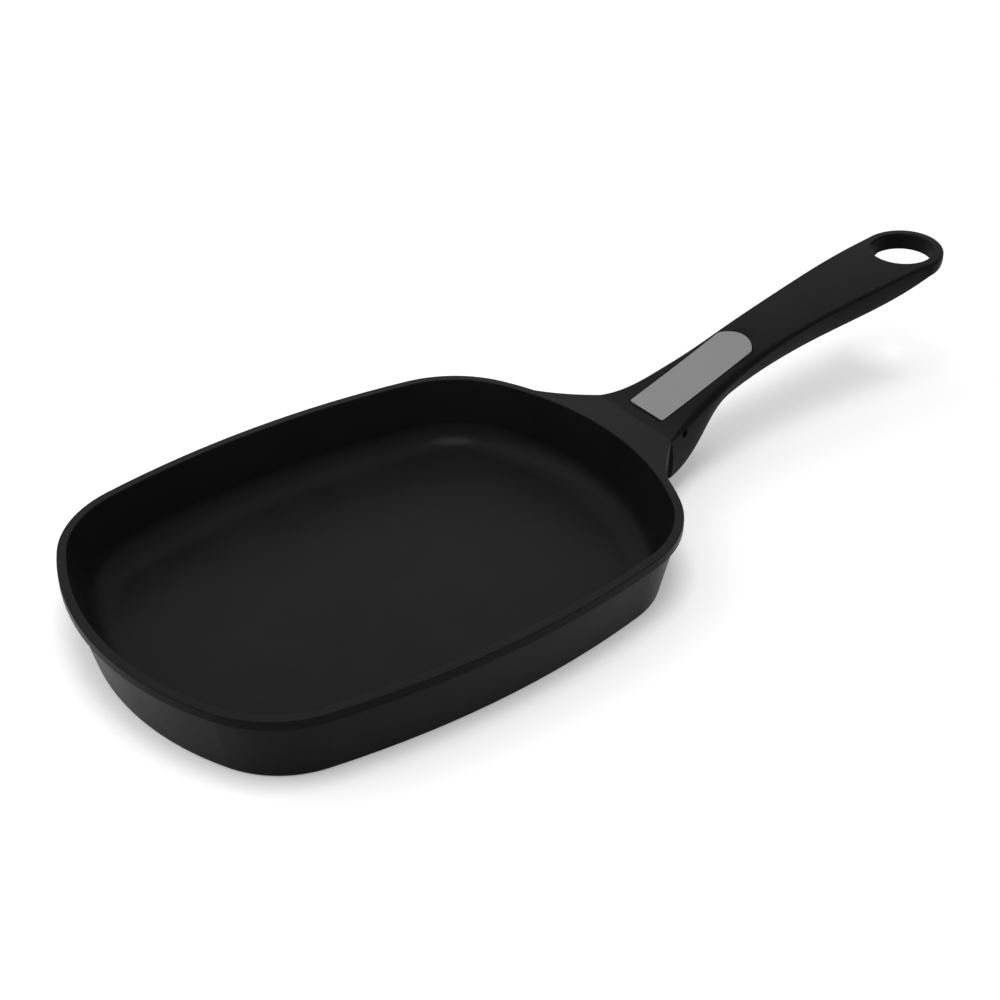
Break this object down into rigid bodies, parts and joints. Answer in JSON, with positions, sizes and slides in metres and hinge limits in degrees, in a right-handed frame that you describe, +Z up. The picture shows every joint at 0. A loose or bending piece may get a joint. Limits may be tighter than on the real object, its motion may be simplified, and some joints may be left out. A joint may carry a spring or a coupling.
{
  "type": "frying pan",
  "caption": "Rectangular frying pan with a rounded outline and a detachable handle that a steel cam lever clamps.",
  "frame": {"origin": "centre of the pan's flat underside, on the surface it stands on", "axes": "+X from the pan towards the handle's eye, +Y across the pan, +Z up"},
  "size_m": [0.4846, 0.203, 0.0729],
  "materials": {
    "coated_casting": "matte black non-stick coating",
    "steel": "satin",
    "screw_steel": "satin",
    "brushed_plate": "fine satin",
    "grip_plastic": "matte",
    "cam_plastic": "matte",
    "brass": "plain",
    "rubber": "matte"
  },
  "bodies": {
    "pan": {"pan_casting": "coated_casting", "tongue": "steel", "tongue_screws": "screw_steel"},
    "handle": {"grip": "grip_plastic", "clamp_frame": "steel", "frame_screws": "screw_steel", "screw_inserts": "brass", "underside_cover": "grip_plastic", "cover_screws": "screw_steel", "lever_pin": "screw_steel", "lever_pad": "rubber", "shoe_springs": "screw_steel"},
    "lever": {"lever_plate": "brushed_plate", "lever_cam": "cam_plastic", "cam_dowel": "steel"},
    "shoe": {"clamp_shoe": "steel"}
  },
  "joints": [
    {"name": "handle_slide", "type": "slide", "parent": "pan", "child": "handle", "axis": [1, 0, 0], "range_m": [0, 0.03]},
    {"name": "lever_hinge", "type": "hinge", "parent": "handle", "child": "lever", "pos_m": [0.16025, 0, 0.03345], "axis": [0, -1, 0], "range_deg": [0, 50]},
    {"name": "shoe_lift", "type": "slide", "parent": "handle", "child": "shoe", "axis": [0, 0, 1], "range_m": [0, 0.0006], "deforming": ["shoe_springs"]}
  ],
  "couplings": [
    {"joint": "shoe_lift", "follows": "lever_hinge", "m_per_rad": 0.000687}
  ]
}
